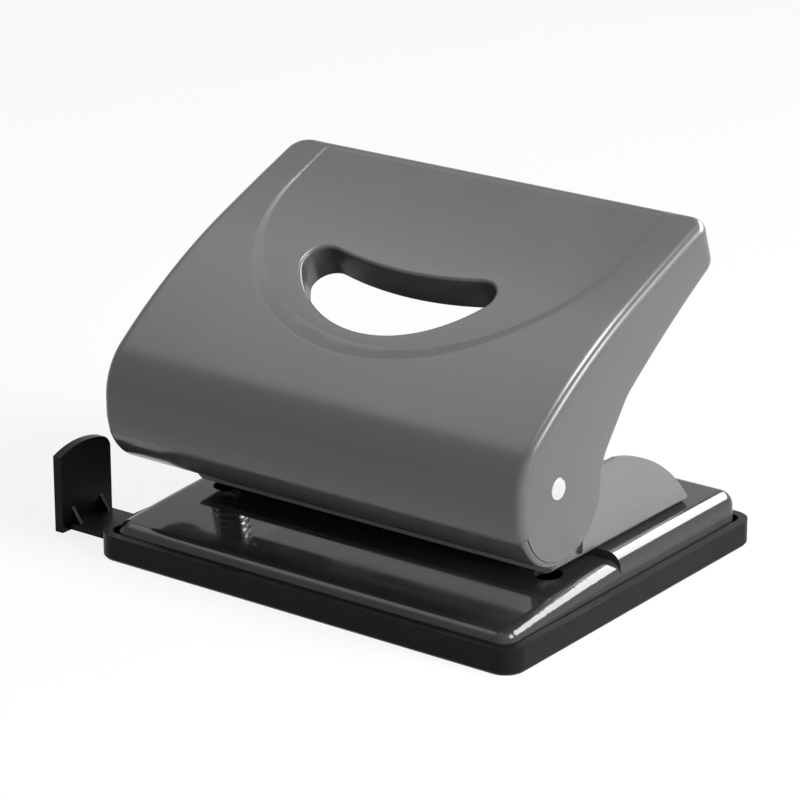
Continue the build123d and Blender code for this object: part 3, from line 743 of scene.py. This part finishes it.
def finish_of(name, colour, metallic, roughness, grain, bump=0.0, colour_spread=0.0, rough_spread=0.0,
              stretch=(1, 1, 1), specular=0.5, painted_wall_shade=1.0):
    """A surface with grain in its colour and relief, and patches in its roughness.

    Grain is the grain's size and bump its height, in metres. The spreads say how far colour and
    roughness stray. The wall's shade factor, below 1, paints shade onto the finger slot's wall:
    it darkens that wall's colour and dulls its reflection.
    """
    material = bpy.data.materials.new(name)
    material.use_nodes = True
    tree = material.node_tree
    link = tree.links.new
    surface = tree.nodes["Principled BSDF"]
    surface.inputs["Metallic"].default_value = metallic
    surface.inputs["Specular IOR Level"].default_value = specular
    where = tree.nodes.new("ShaderNodeTexCoord")
    scaled = tree.nodes.new("ShaderNodeMapping")
    scaled.inputs["Scale"].default_value = stretch
    link(where.outputs["Object"], scaled.inputs["Vector"])
    fine = noise_of(tree, scaled.outputs["Vector"], 1 / grain, 3.0)
    cloud = noise_of(tree, where.outputs["Object"], CLOUD_SCALE, 2.0)

    ramp = tree.nodes.new("ShaderNodeValToRGB")
    shares = (1 - colour_spread, 1 + colour_spread)
    for element, position, share in zip(ramp.color_ramp.elements, NOISE_SPAN, shares):
        element.position = position
        element.color = (*[min(1.0, c * share) for c in colour], 1)
    link(fine, ramp.inputs["Fac"])
    paint = ramp.outputs["Color"]
    # Painted shade: on the marked slot wall the colour is darkened and the reflection dulled, standing
    # in for the shade inside the slot
    if painted_wall_shade < 1:
        wall = tree.nodes.new("ShaderNodeAttribute")
        wall.attribute_name = PAINTED_SHADE_MARK
        darker = tree.nodes.new("ShaderNodeVectorMath")
        darker.operation = "SCALE"
        link(paint, darker.inputs[0])
        link(mapped(tree, wall.outputs["Fac"], 1.0, painted_wall_shade), darker.inputs["Scale"])
        paint = darker.outputs["Vector"]
        dull = mapped(tree, wall.outputs["Fac"], specular, PAINTED_SHADE_SPECULAR)
        link(dull, surface.inputs["Specular IOR Level"])
    link(paint, surface.inputs["Base Color"])

    smoothest = max(0.02, roughness - rough_spread)
    rough = mapped(tree, cloud, smoothest, roughness + rough_spread, NOISE_SPAN, "SMOOTHERSTEP")
    link(rough, surface.inputs["Roughness"])
    if bump:
        relief = tree.nodes.new("ShaderNodeBump")
        relief.inputs["Strength"].default_value = 1.0
        relief.inputs["Distance"].default_value = bump
        link(fine, relief.inputs["Height"])
        link(relief.outputs["Normal"], surface.inputs["Normal"])
    return material


# The cover's slot wall gets painted shade: 0.8 of the paint's colour and a duller reflection
cover_grey = finish_of("cover_grey", (0.05, 0.05, 0.051), 0.0, 0.29, 0.00035, bump=0.000005,
                       colour_spread=0.10, rough_spread=0.015, specular=0.55, painted_wall_shade=0.8)
black_plastic = finish_of("black_plastic", (0.005, 0.005, 0.0055), 0.0, 0.36, 0.0006, bump=0.000008,
                          colour_spread=0.15, rough_spread=0.07, specular=0.08)
plate_steel = finish_of("plate_steel", (0.02, 0.02, 0.021), 0.0, 0.09, 0.004, bump=0.000002,
                        colour_spread=0.04, rough_spread=0.03, specular=0.3)
frame_steel = finish_of("frame_steel", (0.075, 0.075, 0.076), 0.0, 0.36, 0.0005, bump=0.000005,
                        colour_spread=0.07, rough_spread=0.06, specular=0.8)
lever_steel = finish_of("lever_steel", (0.04, 0.04, 0.041), 0.0, 0.16, 0.003,
                        colour_spread=0.05, rough_spread=0.02, specular=0.7)
bright_steel = finish_of("bright_steel", (0.85, 0.85, 0.86), 1.0, 0.16, 0.0008, bump=0.000003,
                         colour_spread=0.05, rough_spread=0.05, stretch=(0.2, 1, 1))
spring_steel = finish_of("spring_steel", (0.6, 0.6, 0.61), 1.0, 0.22, 0.0004, bump=0.000003,
                         colour_spread=0.08, rough_spread=0.06)
washer_nylon = finish_of("washer_nylon", (0.7, 0.7, 0.67), 0.0, 0.5, 0.0006, bump=0.000005,
                         colour_spread=0.04, rough_spread=0.05)

NODE_FINISH = {
    "chip_tray": black_plastic,
    "paper_guide": black_plastic,
    "base_plate": plate_steel,
    "punch_frame": frame_steel,
    "frame_rivets": bright_steel,
    "guide_bridge": bright_steel,
    "handle_lever": lever_steel,
    "cover_screws": bright_steel,
    "press_bar": bright_steel,
    "left_punch": bright_steel,
    "right_punch": bright_steel,
    "left_retaining_clip": spring_steel,
    "right_retaining_clip": spring_steel,
    "left_pivot_pin": bright_steel,
    "right_pivot_pin": bright_steel,
    "left_pivot_washer": washer_nylon,
    "right_pivot_washer": washer_nylon,
}


def dress(piece, material):
    piece.data.materials.clear()
    piece.data.materials.append(material)


for node, material in NODE_FINISH.items():
    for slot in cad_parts[node].material_slots:
        slot.material = material

cover_shell = make_cover()
dress(cover_shell, cover_grey)
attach(cover_shell, "handle")
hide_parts("handle_cover")
for side, x in (("left", -PUNCH_X), ("right", PUNCH_X)):
    dress(make_spring(side + "_return_spring", x), spring_steel)


# Stage, light and camera

FLOOR_HALF = 3.0
FLOOR_GREY = 0.8
FLOOR_GLOW = 0.85
WORLD_LEVEL = 0.2
CAMERA_PLACE = (0.4003, -0.5479, 0.2748)
CAMERA_DOWN = radians(19.69)
CAMERA_TURN = radians(36.61)
CAMERA_LENS = 162.0


def light_path_white(tree, other):
    """A factor that is 1 for rays that show the background and other for the rest."""
    rays = tree.nodes.new("ShaderNodeLightPath")
    total = rays.outputs["Is Camera Ray"]
    for kind in ("Is Glossy Ray", "Is Transmission Ray"):
        add = tree.nodes.new("ShaderNodeMath")
        add.operation = "MAXIMUM"
        tree.links.new(total, add.inputs[0])
        tree.links.new(rays.outputs[kind], add.inputs[1])
        total = add.outputs[0]
    return mapped(tree, total, other, 1.0)


def make_floor():
    data = bpy.data.meshes.new("floor")
    corners = [(x * FLOOR_HALF, y * FLOOR_HALF, 0) for x, y in ((-1, -1), (1, -1), (1, 1), (-1, 1))]
    data.from_pydata(corners, [], [(0, 1, 2, 3)])
    floor = bpy.data.objects.new("floor", data)
    bpy.context.scene.collection.objects.link(floor)
    material = bpy.data.materials.new("floor_white")
    material.use_nodes = True
    tree = material.node_tree
    surface = tree.nodes["Principled BSDF"]
    surface.inputs["Base Color"].default_value = (FLOOR_GREY, FLOOR_GREY, FLOOR_GREY, 1)
    surface.inputs["Roughness"].default_value = 0.9
    glow = tree.nodes.new("ShaderNodeEmission")
    glow.inputs["Strength"].default_value = 1.0
    mix = tree.nodes.new("ShaderNodeMixShader")
    share = mapped(tree, light_path_white(tree, 0.0), 0.0, FLOOR_GLOW)
    tree.links.new(share, mix.inputs["Fac"])
    tree.links.new(surface.outputs["BSDF"], mix.inputs[1])
    tree.links.new(glow.outputs["Emission"], mix.inputs[2])
    tree.links.new(mix.outputs["Shader"], tree.nodes["Material Output"].inputs["Surface"])
    data.materials.append(material)


def make_world():
    world = bpy.data.worlds.new("studio")
    bpy.context.scene.world = world
    world.use_nodes = True
    tree = world.node_tree
    background = tree.nodes["Background"]
    background.inputs["Color"].default_value = (1, 1, 1, 1)
    tree.links.new(light_path_white(tree, WORLD_LEVEL), background.inputs["Strength"])


def softbox(name, place, target, width, height, power):
    """A lamp at place that faces target: metres and watts."""
    light = bpy.data.lights.new(name, "AREA")
    light.shape = "RECTANGLE"
    light.size = width
    light.size_y = height
    light.energy = power
    lamp = bpy.data.objects.new(name, light)
    bpy.context.scene.collection.objects.link(lamp)
    lamp.location = place
    lamp.rotation_euler = (Vector(target) - Vector(place)).to_track_quat("-Z", "Y").to_euler()
    return lamp


make_floor()
make_world()
# The cheek's light, from the right. It would glare on the cover in views from the left.
side_light = softbox("side_light", (0.86, -0.05, 0.16), (0, 0, 0.05), 0.5, 0.3, 15.0)
side_light.visible_glossy = False
# The streak along the cover's right edge
softbox("rim_light", (0.62, 0.11, 0.66), (0, 0, 0.04), 0.34, 0.34, 7.5)
# The streaks on the plate's right edge
back_light = softbox("back_light", (0.22, 0.68, 0.5), (0, 0, 0.02), 0.75, 0.36, 17.0)
back_light.visible_diffuse = False
# The sheen on the face
softbox("top_light", (-0.46, -0.06, 0.68), (0, 0, 0.05), 0.66, 0.22, 0.85)
# The streak on the recess's left bevel
zenith_light = softbox("zenith_light", (-0.09, 0.04, 0.8), (0, 0, 0.05), 0.2, 0.2, 6.0)
zenith_light.visible_diffuse = False

camera_data = bpy.data.cameras.new("camera")
camera_data.lens = CAMERA_LENS
camera_data.sensor_width = 36.0
camera_data.clip_start = 0.05
camera_data.clip_end = 20.0
camera = bpy.data.objects.new("camera", camera_data)
bpy.context.scene.collection.objects.link(camera)
camera.location = CAMERA_PLACE
camera.rotation_euler = (pi / 2 - CAMERA_DOWN, 0, CAMERA_TURN)
bpy.context.scene.camera = camera
bpy.context.scene.view_settings.view_transform = "Standard"
